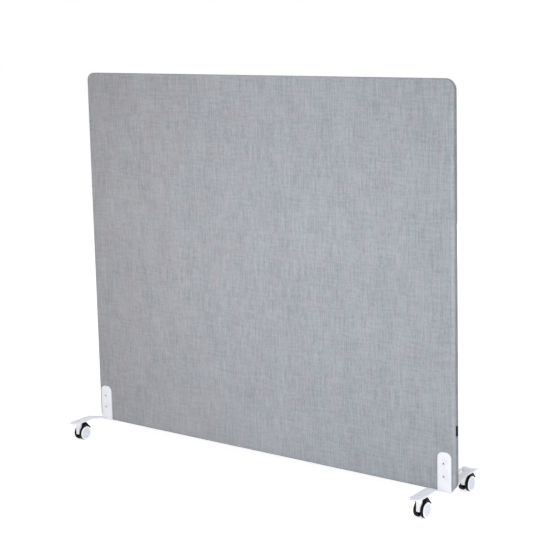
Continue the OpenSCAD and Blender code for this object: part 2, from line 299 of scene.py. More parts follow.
@dataclass(frozen=True)
class MelangeCloth(Finish):
    """Plain-woven polyester melange: long warp slubs, short weft slubs and flecks of cooler and warmer yarn.

    The eye sees upright streaks first, then a fine cross weave, on a grey that drifts to blue, green and lilac.
    """

    colour: str = "#a4a9af"
    green: str = "#9eaab1"
    lilac: str = "#aba7ac"
    pale: str = "#afb3b8"
    deep: str = "#979ba1"
    # Painted light: the cloth's colour passes from a warmer tint at the left to a cooler one at the right, like the
    # tints of the left and right lamps, between these places along x
    warm_side: str = "#aba5a4"
    cool_side: str = "#a4a8ae"
    drift_x: Span = (-0.85, 0.35)
    roughness: float = 0.93
    specular: float = 0.2
    # Size in mm along x, y and z, octaves, and share in the drawing. The warp's slubs come first, drawn a
    # little coarser than the yarn's 1.3 mm so that they show from across a room
    warp: tuple[Triple, float, float] = ((5.0, 5.0, 80.0), 2.0, 0.44)
    weft: tuple[Triple, float, float] = ((48.0, 48.0, 5.0), 2.0, 0.24)
    fleck: tuple[Triple, float, float] = ((3.0, 3.0, 11.0), 1.0, 0.32)
    cloud: tuple[Triple, float, float] = ((75.0, 75.0, 260.0), 2.0, 0.16)
    # Patches of cooler yarn, and how much larger those of warmer yarn are
    patch_mm: Triple = (32.0, 32.0, 44.0)
    warm_scale: float = 1.35
    # The weave's thread spacing, and how high its crossings stand beside the slubs
    thread_mm: float = 1.3
    crossing: float = 0.35
    depth_mm: float = 0.35
    # Painted light and shade: the cloth's tone falls from the first share at the centre below, in x and z, to the
    # second where the square of the distance, counted in reaches, is the far value below; the first share lifts the
    # middle as painted light, the fall to the rim is painted shade
    rim_tone: Span = (1.062, 0.816)
    rim_centre: Span = (0.0944, 0.6635)
    rim_reach: Span = (0.8, 0.675)
    rim_far: float = 2.2

    def dress(self, tree: Tree, shader: Node, place: Socket) -> None:
        """See Finish.dress."""
        yarns = [
            (self.grain(tree, place, cells, detail), share)
            for cells, detail, share in (self.warp, self.weft, self.fleck, self.cloud)
        ]
        drawn: Any = 0.0
        for yarn, share in yarns:
            links = {0: yarn, 1: share, 2: drawn}
            drawn = add_node(tree, "ShaderNodeMath", links, operation="MULTIPLY_ADD").outputs[0]
        cool = self.grain(tree, place, self.patch_mm, 1.0)
        warm = self.grain(tree, place, [self.warm_scale * cell for cell in self.patch_mm], 1.0)
        across = add_node(tree, "ShaderNodeSeparateXYZ", {0: place}).outputs[0]
        # Painted light: a warmer tint at the left passing to a cooler one at the right
        drift = self.tone(tree, across, self.warm_side, self.cool_side, self.drift_x)
        patched = self.tone(tree, cool, self.green, self.colour, (0.36, 0.56))
        patched = self.tone(tree, warm, patched, self.lilac, (0.46, 0.68))
        base = add_node(tree, "ShaderNodeMix", {0: 0.5, 6: patched, 7: drift}, data_type="RGBA").outputs[2]
        dark = self.tone(tree, drawn, self.deep, base, (0.46, 0.58))
        cloth = self.tone(tree, drawn, dark, self.pale, (0.58, 0.7))
        # Painted light in the panel's middle and painted shade towards its rim
        tree.links.new(self.duller_rim(tree, place, cloth), shader.inputs["Base Color"])
        shader.inputs["Sheen Weight"].default_value = 0.1
        shader.inputs["Sheen Roughness"].default_value = 0.4
        self.relief(tree, shader, self.weave(tree, place, yarns[0][0]))

    def duller_rim(self, tree: Tree, place: Socket, cloth: Socket) -> Socket:
        """Paint light near the panel's middle and shade towards its rim into the cloth's tone.

        Args:
            tree: The material's tree.
            place: Object coordinates.
            cloth: The cloth's colour.

        Returns:
            The colour with the painted light and shade.
        """
        reach_x, reach_z = self.rim_reach
        centring = {
            "Vector": place,
            "Location": (-self.rim_centre[0] / reach_x, 0.0, -self.rim_centre[1] / reach_z),
            "Scale": (1 / reach_x, 0.0, 1 / reach_z),
        }
        out = add_node(tree, "ShaderNodeMapping", centring).outputs[0]
        square = add_node(tree, "ShaderNodeVectorMath", {0: out, 1: out}, operation="DOT_PRODUCT").outputs["Value"]
        fall = {"Value": square, "From Max": self.rim_far, "To Min": self.rim_tone[0], "To Max": self.rim_tone[1]}
        share = add_node(tree, "ShaderNodeMapRange", fall).outputs[0]
        return add_node(tree, "ShaderNodeVectorMath", {0: cloth, "Scale": share}, operation="SCALE").outputs[0]

    def weave(self, tree: Tree, place: Socket, slub: Socket) -> Socket:
        """Height of a plain weave, warp over weft, thickened where a slub runs.

        Args:
            tree: The material's tree.
            place: Object coordinates.
            slub: Value of the warp slubs.

        Returns:
            The height, from 0 to about 1.
        """
        axes = add_node(tree, "ShaderNodeSeparateXYZ", {0: place})
        turn = math.pi / (self.thread_mm * MM)
        along = add_node(tree, "ShaderNodeMath", {0: axes.outputs[0], 1: axes.outputs[1]}, operation="ADD")
        waves = []
        for socket in (along.outputs[0], axes.outputs[2]):
            angle = add_node(tree, "ShaderNodeMath", {0: socket, 1: turn}, operation="MULTIPLY")
            waves.append(add_node(tree, "ShaderNodeMath", {0: angle.outputs[0]}, operation="SINE").outputs[0])
        over = add_node(tree, "ShaderNodeMath", {0: waves[0], 1: waves[1]}, operation="MULTIPLY").outputs[0]
        links = {0: over, 1: self.crossing, 2: slub}
        return add_node(tree, "ShaderNodeMath", links, operation="MULTIPLY_ADD").outputs[0]


@dataclass(frozen=True)
class EdgeBandCloth(MelangeCloth):
    """A band of the same weave in a darker, warmer grey, sewn round the panel's edge over the closing seam.

    From the front it reads as the thin dark line that closes the panel's far side.
    """

    colour: str = "#848587"
    green: str = "#838685"
    lilac: str = "#888587"
    pale: str = "#8f8f92"
    deep: str = "#79797c"
    # Painted light: the band's tint also passes from warmer at the left to cooler at the right
    warm_side: str = "#888687"
    cool_side: str = "#858588"
    # No painted light or shade on the band
    rim_tone: Span = (1.0, 1.0)


@dataclass(frozen=True)
class PolyesterWadding(Finish):
    """Needled polyester wadding: soft white with loose, clumped fibre."""

    colour: str = "#e8e6e0"
    shade: str = "#d3d1cb"
    roughness: float = 0.95
    cell_mm: Triple = (9.0, 9.0, 9.0)
    detail: float = 5.0
    depth_mm: float = 1.2


@dataclass(frozen=True)
class HoneycombBoard(Finish):
    """Kraft-faced honeycomb board: tan paper with short fibres and faint ribs of the cells beneath."""

    colour: str = "#c5ae84"
    shade: str = "#b1976a"
    roughness: float = 0.85
    cell_mm: Triple = (1.2, 1.2, 5.0)
    detail: float = 4.0
    depth_mm: float = 0.3
    combs_per_m: float = 90.0

    def height(self, tree: Tree, place: Socket, pattern: Socket) -> Socket:
        """Distance from the ribs of the comb, 11 mm apart, that print through the paper."""
        links = {"Vector": place, "Scale": self.combs_per_m}
        return add_node(tree, "ShaderNodeTexVoronoi", links, feature="DISTANCE_TO_EDGE").outputs["Distance"]


@dataclass(frozen=True)
class PlanedSpruce(Finish):
    """Planed spruce: pale yellow wood with darker late-wood lines about 3 mm apart along its length."""

    colour: str = "#dcc090"
    shade: str = "#b98f55"
    band: Span = NOISE_SPREAD
    roughness: float = 0.6
    cell_mm: Triple = (3.0, 3.0, 180.0)
    detail: float = 3.0
    depth_mm: float = 0.08
    edge_mm: float = 0.6
    pore_mm: Triple = (0.5, 0.5, 9.0)

    def height(self, tree: Tree, place: Socket, pattern: Socket) -> Socket:
        """Fine pores along the grain."""
        return self.grain(tree, place, self.pore_mm)


@dataclass(frozen=True)
class TurnedBrass(Finish):
    """Turned brass with fine tool rings."""

    colour: str = "#c9a55a"
    roughness: float = 0.3
    rough_span: Span | None = (0.24, 0.4)
    metallic: float = 1.0
    cell_mm: Triple = (4.0, 0.25, 4.0)
    depth_mm: float = 0.03
    edge_mm: float = 0.2


@dataclass(frozen=True)
class ZincPlatedSteel(Finish):
    """Zinc-plated steel: bright, slightly blue, with a faint cloudiness of the plating."""

    colour: str = "#c3c7cc"
    roughness: float = 0.32
    rough_span: Span | None = (0.26, 0.42)
    metallic: float = 1.0
    cell_mm: Triple = (4.0, 4.0, 4.0)
    detail: float = 4.0
    depth_mm: float = 0.01
    edge_mm: float = 0.25


@dataclass(frozen=True)
class PowderCoatedSteel(Finish):
    """White polyester powder coat on bent sheet: a soft satin with fine orange peel, full and round on the edges."""

    colour: str = "#f1f2f7"
    shade: str = "#e9eaf2"
    roughness: float = 0.38
    rough_span: Span | None = (0.34, 0.46)
    cell_mm: Triple = (35.0, 35.0, 35.0)
    detail: float = 4.0
    depth_mm: float = 0.03
    edge_mm: float = 0.7
    peel_mm: Triple = (1.1, 1.1, 1.1)

    def height(self, tree: Tree, place: Socket, pattern: Socket) -> Socket:
        """The coat's orange peel."""
        return self.grain(tree, place, self.peel_mm, 1.0)


@dataclass(frozen=True)
class EnamelledSteel(Finish):
    """Enamelled screw heads: a grey white a little duller than the feet, so that they show as heads on them."""

    colour: str = "#e1e2e8"
    shade: str = "#d2d3da"
    roughness: float = 0.34
    cell_mm: Triple = (2.0, 2.0, 2.0)
    detail: float = 3.0
    edge_mm: float = 0.25


@dataclass(frozen=True)
class ScrewSocket(Finish):
    """Hexagon socket: bare steel with a little grease, darkened further by painted shade of the recess to a
    near-black dot in the white head.
    """

    colour: str = "#1b1b1e"
    shade: str = "#0d0d0f"
    roughness: float = 0.55
    specular: float = 0.3
    cell_mm: Triple = (1.2, 1.2, 1.2)
    detail: float = 3.0


@dataclass(frozen=True)
class WhiteNylon(Finish):
    """Injection-moulded white nylon: slightly translucent, with a fine spark-eroded texture."""

    colour: str = "#fbfbfd"
    shade: str = "#f5f5f9"
    roughness: float = 0.4
    cell_mm: Triple = (12.0, 5.0, 5.0)
    edge_mm: float = 0.4
    spark_mm: Triple = (0.45, 0.45, 0.45)
    # How much of the light enters the nylon, and how deep it goes
    milkiness: float = 0.06
    milk_depth: float = 3 * MM

    def dress(self, tree: Tree, shader: Node, place: Socket) -> None:
        """Besides the common dressing, let a little light into the nylon; see Finish.dress."""
        super().dress(tree, shader, place)
        shader.inputs["Subsurface Weight"].default_value = self.milkiness
        shader.inputs["Subsurface Radius"].default_value = (self.milk_depth,) * 3

    def height(self, tree: Tree, place: Socket, pattern: Socket) -> Socket:
        """The spark-eroded texture of the mould."""
        return self.grain(tree, place, self.spark_mm)


@dataclass(frozen=True)
class BlackNylon(Finish):
    """Injection-moulded black nylon: near black, with a fine leather-like grain and a low sheen."""

    colour: str = "#0a0a0d"
    shade: str = "#050507"
    roughness: float = 0.42
    rough_span: Span | None = (0.36, 0.5)
    specular: float = 0.16
    cell_mm: Triple = (9.0, 9.0, 9.0)
    detail: float = 3.0
    depth_mm: float = 0.03
    edge_mm: float = 0.5
    pebbles_per_m: float = 1800.0

    def height(self, tree: Tree, place: Socket, pattern: Socket) -> Socket:
        """The grain's pebbles, half a millimetre wide."""
        links = {"Vector": place, "Scale": self.pebbles_per_m}
        return add_node(tree, "ShaderNodeTexVoronoi", links).outputs["Distance"]


@dataclass(frozen=True)
class WheelNylon(Finish):
    """Injection-moulded black nylon of the wheels: satin, with fine dust and scuffs round the tread."""

    colour: str = "#060608"
    shade: str = "#101013"
    band: Span = (0.5, 0.8)
    rough_span: Span | None = (0.44, 0.62)
    specular: float = 0.14
    cell_mm: Triple = (0.7, 3.0, 3.0)
    detail: float = 4.0
    depth_mm: float = 0.04


@dataclass(frozen=True)
class DiscNylon(Finish):
    """Pale blue-grey moulded disc in the wheel's face: satin, with cloudy flow marks."""

    colour: str = "#e0e2ea"
    shade: str = "#d6d8e2"
    roughness: float = 0.34
    cell_mm: Triple = (6.0, 6.0, 6.0)
    detail: float = 3.0
    depth_mm: float = 0.03
    edge_mm: float = 0.3


@dataclass(frozen=True)
class WovenRibbon(Finish):
    """Black satin-woven ribbon: fine ribs across its width, no lettering."""

    colour: str = "#08080a"
    shade: str = "#111114"
    band: Span = (0.2, 1.0)
    roughness: float = 0.7
    specular: float = 0.15
    depth_mm: float = 0.12
    # The wave node's scale for ribs 1 mm apart, and how far they waver
    rib_scale: float = 320.0
    waver: float = 0.6

    def pattern(self, tree: Tree, place: Socket) -> Socket:
        """The ribs."""
        links = {"Vector": place, "Scale": self.rib_scale, "Distortion": self.waver}
        return add_node(tree, "ShaderNodeTexWave", links, bands_direction="Z").outputs["Fac"]


# ---------------------------------------------------------------- modelling


def leave_edit() -> None:
    """Go back to object mode."""
    if bpy.context.mode != "OBJECT":
        bpy.ops.object.mode_set(mode="OBJECT")


def clear_selection() -> None:
    """Go back to object mode with nothing selected."""
    leave_edit()
    bpy.ops.object.select_all(action="DESELECT")


def select_alone(piece: Piece) -> None:
    """Select one piece and nothing else, in object mode, and make it the active one.

    Args:
        piece: The piece.
    """
    clear_selection()
    piece.select_set(True)
    bpy.context.view_layer.objects.active = piece


def edit(piece: Piece, kind: str = "VERT") -> bmesh.types.BMesh:
    """Enter edit mode on a piece with nothing selected.

    Args:
        piece: The mesh object.
        kind: What is selected from now on: VERT, EDGE or FACE.

    Returns:
        The mesh that is being edited.
    """
    select_alone(piece)
    bpy.ops.object.mode_set(mode="EDIT")
    bpy.ops.mesh.select_mode(type=kind)
    bpy.ops.mesh.select_all(action="DESELECT")
    return bmesh.from_edit_mesh(piece.data)


def pick_edges(piece: Piece, wanted: Callable[[Vector, Vector], bool]) -> None:
    """Select the edges whose two ends pass a test, and nothing else.

    Args:
        piece: The piece, in edit mode or not.
        wanted: Test of an edge's two end points.
    """
    mesh = edit(piece, "EDGE")
    for edge in mesh.edges:
        if wanted(edge.verts[0].co, edge.verts[1].co):
            edge.select_set(True)
    mesh.select_flush_mode()
    bmesh.update_edit_mesh(piece.data)


def pick_edges_at(piece: Piece, axis: int, where: float) -> None:
    """Select the edges whose two ends lie at one place along an axis, and nothing else."""
    pick_edges(piece, lambda a, b: abs(a[axis] - where) < SAME and abs(b[axis] - where) < SAME)


def added(name: str) -> Piece:
    """Name the primitive that was just added and put its place into its mesh, its object at the origin.

    Args:
        name: The piece's name.

    Returns:
        The primitive.
    """
    piece = bpy.context.active_object
    piece.name = piece.data.name = name
    select_alone(piece)
    bpy.ops.object.transform_apply(location=True, rotation=True, scale=True)
    return piece


def new_box(name: str, low: Vector, high: Vector) -> Piece:
    """Add a cube at its size and place, its object at the origin.

    Args:
        name: The piece's name.
        low: Lowest corner.
        high: Highest corner.

    Returns:
        The new piece.
    """
    clear_selection()
    bpy.ops.mesh.primitive_cube_add(size=1.0, location=(low + high) / 2)
    bpy.context.active_object.scale = high - low
    return added(name)


def apply_modifier(piece: Piece, kind: str, **settings: Any) -> None:
    """Add a modifier with its settings and apply it at once.

    Args:
        piece: The piece.
        kind: The modifier's type.
        **settings: The modifier's attributes.
    """
    select_alone(piece)
    modifier = piece.modifiers.new(kind.title(), kind)
    for name, value in settings.items():
        setattr(modifier, name, value)
    bpy.ops.object.modifier_apply(modifier=modifier.name)


def finish_piece(piece: Piece, finish: Finish, degrees: float = 35.0) -> None:
    """Shade a piece smooth up to an angle and give it its finish.

    Args:
        piece: The piece.
        finish: Its finish.
        degrees: Edges sharper than this stay sharp.
    """
    select_alone(piece)
    bpy.ops.object.shade_smooth_by_angle(angle=math.radians(degrees))
    piece.data.materials.clear()
    piece.data.materials.append(finish.material())


def turned(name: str, profile: Sequence[Span], centre: Vector, steps: int = 96) -> Piece:
    """Turn a closed profile round an axle along x, as on a lathe.

    Args:
        name: The piece's name.
        profile: Points (distance along x from the centre, radius), in order round the section. One that
            starts on the axle is left open there, and its ends meet as it turns.
        centre: A point on the axle.
        steps: Facets round the axle.

    Returns:
        The turned piece, with its normals outward.
    """
    clear_selection()
    start = centre + Vector((profile[0][0], 0.0, profile[0][1]))
    bpy.ops.mesh.primitive_plane_add(size=1 * MM, location=start)
    piece = added(name)
    edit(piece)
    bpy.ops.mesh.select_all(action="SELECT")
    bpy.ops.mesh.merge(type="CENTER")
    for here, there in zip(profile, profile[1:]):
        step = (there[0] - here[0], 0.0, there[1] - here[1])
        bpy.ops.mesh.extrude_vertices_move(TRANSFORM_OT_translate={"value": step})
    if profile[0][1] > SAME:
        ends = edit(piece)
        for vert in ends.verts:
            vert.select_set(len(vert.link_edges) == 1)
        bmesh.update_edit_mesh(piece.data)
        bpy.ops.mesh.edge_face_add()
    bpy.ops.mesh.select_all(action="SELECT")
    bpy.ops.mesh.spin(steps=steps, angle=math.tau, center=centre, axis=(1.0, 0.0, 0.0))
    bpy.ops.mesh.select_all(action="SELECT")
    bpy.ops.mesh.remove_doubles(threshold=2 * SAME)
    bpy.ops.mesh.normals_make_consistent(inside=False)
    leave_edit()
    return piece


def arc(centre: tuple[float, float], radius: float, start: float, end: float, steps: int) -> list[Span]:
    """Points along an arc.

    Args:
        centre: The arc's centre.
        radius: Its radius.
        start: Start angle in degrees.
        end: End angle in degrees.
        steps: Number of steps between the two.

    Returns:
        steps + 1 points.
    """
    angles = [math.radians(start + (end - start) * i / steps) for i in range(steps + 1)]
    return [(centre[0] + radius * math.cos(a), centre[1] + radius * math.sin(a)) for a in angles]


def moved_copy(piece: Piece, name: str, motion: Matrix) -> Piece:
    """Copy a piece with a mesh of its own.

    Args:
        piece: The piece to copy.
        name: The copy's name.
        motion: How its mesh is moved.

    Returns:
        The copy.
    """
    mesh = piece.data.copy()
    mesh.name = name
    mesh.transform(motion)
    copy = bpy.data.objects.new(name, mesh)
    bpy.context.scene.collection.objects.link(copy)
    return copy


def softened(node: str, radius: float, finish: Finish, motion: Matrix) -> Piece:
    """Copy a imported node, merge its loose triangles, round its sharp edges and dress it.

    Args:
        node: The node to copy.
        radius: Radius of the rounding.
        finish: The copy's finish.
        motion: How the copy is moved.

    Returns:
        The rounded copy.
    """
    piece = moved_copy(bpy.data.objects[node], f"{node}_master", motion)
    edit(piece)
    bpy.ops.mesh.select_all(action="SELECT")
    bpy.ops.mesh.remove_doubles(threshold=2 * SAME)
    bpy.ops.mesh.dissolve_limited(angle_limit=math.radians(0.4))
    leave_edit()
    sharp = {"limit_method": "ANGLE", "angle_limit": math.radians(38)}
    apply_modifier(piece, "BEVEL", width=radius, segments=3, use_clamp_overlap=True, **sharp)
    finish_piece(piece, finish, 30.0)
    return piece


# ---------------------------------------------------------------- the panel


@dataclass
class UpholsteredPanel:
    """The panel's two fabric halves and the tag on its right edge.

    Attributes:
        corner_r: Radius of the right corners, seen from the front.
        left_corner_r: Radius of the left corners.
        proud_left: How far the full cover stands out past the panel's left end.
        proud_top: The same at its top.
        proud_bottom: The same at its lower edge, between the feet.
        edge_r: Radius of the soft roll round the front edge.
        rear_edge_r: Radius of the tighter roll round the rear edge.
        band_span: Shares of the two rolls at which the darker band starts and ends.
        cloth_t: Thickness of the fabric.
        cell: Spacing of the face's cuts.
        crown: How far the wadding lifts the middle of a face.
        upstand_zone: Width and height that a foot's upstand presses flat, from a lower corner.
        pressure: Pressure of the wadding in the cloth simulation.
        stiffness: How hard the cloth is to stretch in it.
        frames: Frames that it runs for.
        seam_w: Half width of the valley where the halves meet.
        seam_d: Depth of that valley.
        allowance: Cloth past the seam that is turned in.
        tag_cuts: Steps along the tag.
        tag_proud: How much wider the tag is than its solid, to the front and to the rear.
        tag_sunk: How far the tag's foot lies in the cover.
        tag_pinch: How far its sewn ends are pressed down.
        cloth: The covers' finish.
        band: The finish of the band round the edge.
        ribbon: The tag's finish.
    """

    corner_r: float = 38 * MM
    left_corner_r: float = 27 * MM
    proud_left: float = 2.5 * MM
    proud_top: float = 2.0 * MM
    proud_bottom: float = 4.0 * MM
    edge_r: float = 11.5 * MM
    rear_edge_r: float = 6.0 * MM
    band_span: Span = (0.8, 0.3)
    cloth_t: float = 1.0 * MM
    cell: float = 26 * MM
    crown: float = 1.4 * MM
    upstand_zone: Span = (90 * MM, 160 * MM)
    pressure: float = 1.5
    stiffness: float = 40.0
    frames: int = 12
    seam_w: float = 1.8 * MM
    seam_d: float = 1.5 * MM
    allowance: float = 4 * MM
    tag_cuts: int = 14
    tag_proud: Span = (1.5 * MM, 4.5 * MM)
    tag_sunk: float = 0.4 * MM
    tag_pinch: float = 0.35 * MM
    cloth: MelangeCloth = field(default_factory=MelangeCloth)
    band: EdgeBandCloth = field(default_factory=EdgeBandCloth)
    ribbon: WovenRibbon = field(default_factory=WovenRibbon)

    def __post_init__(self) -> None:
        """Read the panel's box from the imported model."""
        front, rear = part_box("front_cover"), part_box("rear_cover")
        self.low = Vector((front[0].x - self.proud_left, front[0].y, front[0].z - self.proud_bottom))
        self.high = Vector((rear[1].x, rear[1].y, rear[1].z + self.proud_top))
        self.centre = (self.low + self.high) / 2
        self.size = self.high - self.low
        self.on_feet = [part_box(name) for name in ("foot_left", "foot_right")]

    def build(self) -> None:
        """Build both halves and the tag."""
        for half in Half:
            self.build_half(half)
        self.build_tag()

    def shell(self, half: Half) -> Piece:
        """One half of the cover as an open skin, its edges rolled, its face cut into cells.

        Args:
            half: Which half.

        Returns:
            The skin.
        """
        skin = new_box(f"cover_cloth_{half.word}", self.low, self.high)
        for end, radius in ((self.low.x, self.left_corner_r), (self.high.x, self.corner_r)):
            pick_edges(skin, lambda a, b: max(abs(a.x - end), abs(b.x - end), abs(a.z - b.z)) < SAME)
            bpy.ops.mesh.bevel(offset=radius, segments=14, affect="EDGES")
        for face_y, roll in ((self.low.y, self.edge_r), (self.high.y, self.rear_edge_r)):
            pick_edges_at(skin, 1, face_y)
            bpy.ops.mesh.bevel(offset=roll, segments=8, affect="EDGES")
        bpy.ops.mesh.select_all(action="SELECT")
        bpy.ops.mesh.bisect(plane_co=self.centre, plane_no=(0.0, float(half.value), 0.0), clear_inner=True)
        for depth in (1.0, 0.5):
            self.slice(1, self.centre.y + half.value * self.seam_w * depth)
        for axis in (0, 2):
            start, run = self.low[axis] + self.corner_r, self.size[axis] - 2 * self.corner_r
            count = round(run / self.cell)
            for i in range(count + 1):
                self.slice(axis, start + run * i / count)
        self.turn_in(skin, half)
        leave_edit()
        rest = self.low.z + self.proud_bottom
        for vert in skin.data.vertices:
            if any(low.x < vert.co.x < high.x for low, high in self.on_feet):
                vert.co.z = max(vert.co.z, rest)
        return skin

    def slice(self, axis: int, where: float) -> None:
        """Cut all of the edited mesh across an axis and keep both parts.

        Args:
            axis: The axis's number.
            where: The cut's place along it.
        """
        normal = Vector([float(i == axis) for i in range(3)])
        bpy.ops.mesh.select_all(action="SELECT")
        bpy.ops.mesh.bisect(plane_co=where * normal, plane_no=normal)

    def turn_in(self, skin: Piece, half: Half) -> None:
        """Draw the open rim in to make the closing seam's valley and its hidden allowance.

        Args:
            skin: The half cover.
            half: Which half it is.
        """
        for off_seam, share in ((self.seam_w / 2, 0.35), (0.0, 1.0)):
            pick_edges_at(skin, 1, self.centre.y + half.value * off_seam)
            self.draw_in(self.seam_d * share)
        bpy.ops.mesh.extrude_edges_move(TRANSFORM_OT_translate={"value": (0.0, 0.0, 0.0)})
        self.draw_in(self.allowance / 2)

    def draw_in(self, depth: float) -> None:
        """Draw what is selected towards the panel's middle, by a depth at its ends, its top and its foot."""
        value = ((self.size.x - 2 * depth) / self.size.x, 1.0, (self.size.z - 2 * depth) / self.size.z)
        bpy.ops.transform.resize(value=value, center_override=self.centre)

    def pressed(self, point: Vector) -> bool:
        """Find whether a point of the cover lies flat: on the rolled edge or under a foot's upstand.

        Args:
            point: The point.

        Returns:
            Whether it is held in the cloth simulation.
        """
        rim = self.edge_r + 0.1 * MM
        from_low, from_high = point - self.low, self.high - point
        from_end = min(from_low.x, from_high.x)
        inside = from_end > rim and min(from_low.z, from_high.z) > rim
        by_foot = from_end < self.upstand_zone[0] and from_low.z < self.upstand_zone[1]
        return not inside or by_foot

    def plump(self, skin: Piece, half: Half) -> None:
        """Let the wadding lift the cloth: a short cloth simulation, its travel capped.

        Args:
            skin: The half cover.
            half: Which half it is.
        """
        flat = [v.co.copy() for v in skin.data.vertices]
        group = skin.vertex_groups.new(name="held")
        group.add([v.index for v in skin.data.vertices if self.pressed(v.co)], 1.0, "REPLACE")
        bpy.context.view_layer.objects.active = skin
        cloth = skin.modifiers.new("Cloth", "CLOTH")
        cloth.settings.vertex_group_mass = "held"
        cloth.settings.quality = 4
        cloth.settings.mass = 0.3
        cloth.settings.tension_stiffness = cloth.settings.compression_stiffness = self.stiffness
        cloth.settings.use_pressure = True
        cloth.settings.uniform_pressure_force = self.pressure
        cloth.settings.effector_weights.gravity = 0.0
        scene = bpy.context.scene
        for frame in range(1, self.frames + 1):
            scene.frame_set(frame)
        bpy.context.view_layer.update()
        evaluated = skin.evaluated_get(bpy.context.evaluated_depsgraph_get())
        lifts = [half.value * (v.co.y - f.y) for v, f in zip(evaluated.data.vertices, flat)]
        skin.modifiers.remove(cloth)
        scene.frame_set(1)
        top = max(max(lifts), SAME)
        for vert, at, lift in zip(skin.data.vertices, flat, lifts):
            vert.co = at + Vector((0.0, half.value * self.crown * max(lift, 0.0) / top, 0.0))
        LOG.info("%s: crown %.2f mm, free travel %.2f mm", skin.name, self.crown / MM, top / MM)

    def build_half(self, half: Half) -> None:
        """Model, plump and dress one half of the cover.

        Args:
            half: Which half.
        """
        skin = self.shell(half)
        self.plump(skin, half)
        apply_modifier(skin, "SOLIDIFY", thickness=self.cloth_t, offset=-1.0, use_rim=True)
        finish_piece(skin, self.cloth, 50.0)
        self.add_band(skin)
        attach(skin, "screen")
        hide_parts(f"{half.word}_cover")

    def add_band(self, skin: Piece) -> None:
        """Give the edge, from the end of the front roll to the rear one, the band's finish.

        Args:
            skin: The half cover.
        """
        skin.data.materials.append(self.band.material())
        start = self.low.y + self.band_span[0] * self.edge_r
        end = self.high.y - self.band_span[1] * self.rear_edge_r
        for face in skin.data.polygons:
            if abs(face.normal.y) < 0.6 and start < face.center.y < end:
                face.material_index = 1

    def build_tag(self) -> None:
        """Build the blank ribbon tag: a folded loop, pinched at its two sewn ends."""
        low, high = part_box("side_tag")
        ahead, behind = self.tag_proud
        tag = new_box("edge_tag", low - Vector((self.tag_sunk, ahead, 0)), high + Vector((0, behind, 0)))
        edit(tag)
        for i in range(1, self.tag_cuts):
            self.slice(2, low.z + (high.z - low.z) * i / self.tag_cuts)
        leave_edit()
        middle, half_h = (low.z + high.z) / 2, (high.z - low.z) / 2
        for vert in tag.data.vertices:
            if vert.co.x > low.x:
                vert.co.x -= self.tag_pinch * (abs(vert.co.z - middle) / half_h) ** 6
        apply_modifier(tag, "BEVEL", width=0.25 * MM, segments=2, limit_method="ANGLE", angle_limit=math.radians(50))
        finish_piece(tag, self.ribbon)
        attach(tag, "screen")
        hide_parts("side_tag")
        LOG.info("%s: %d faces", tag.name, len(tag.data.polygons))


# ---------------------------------------------------------------- castors


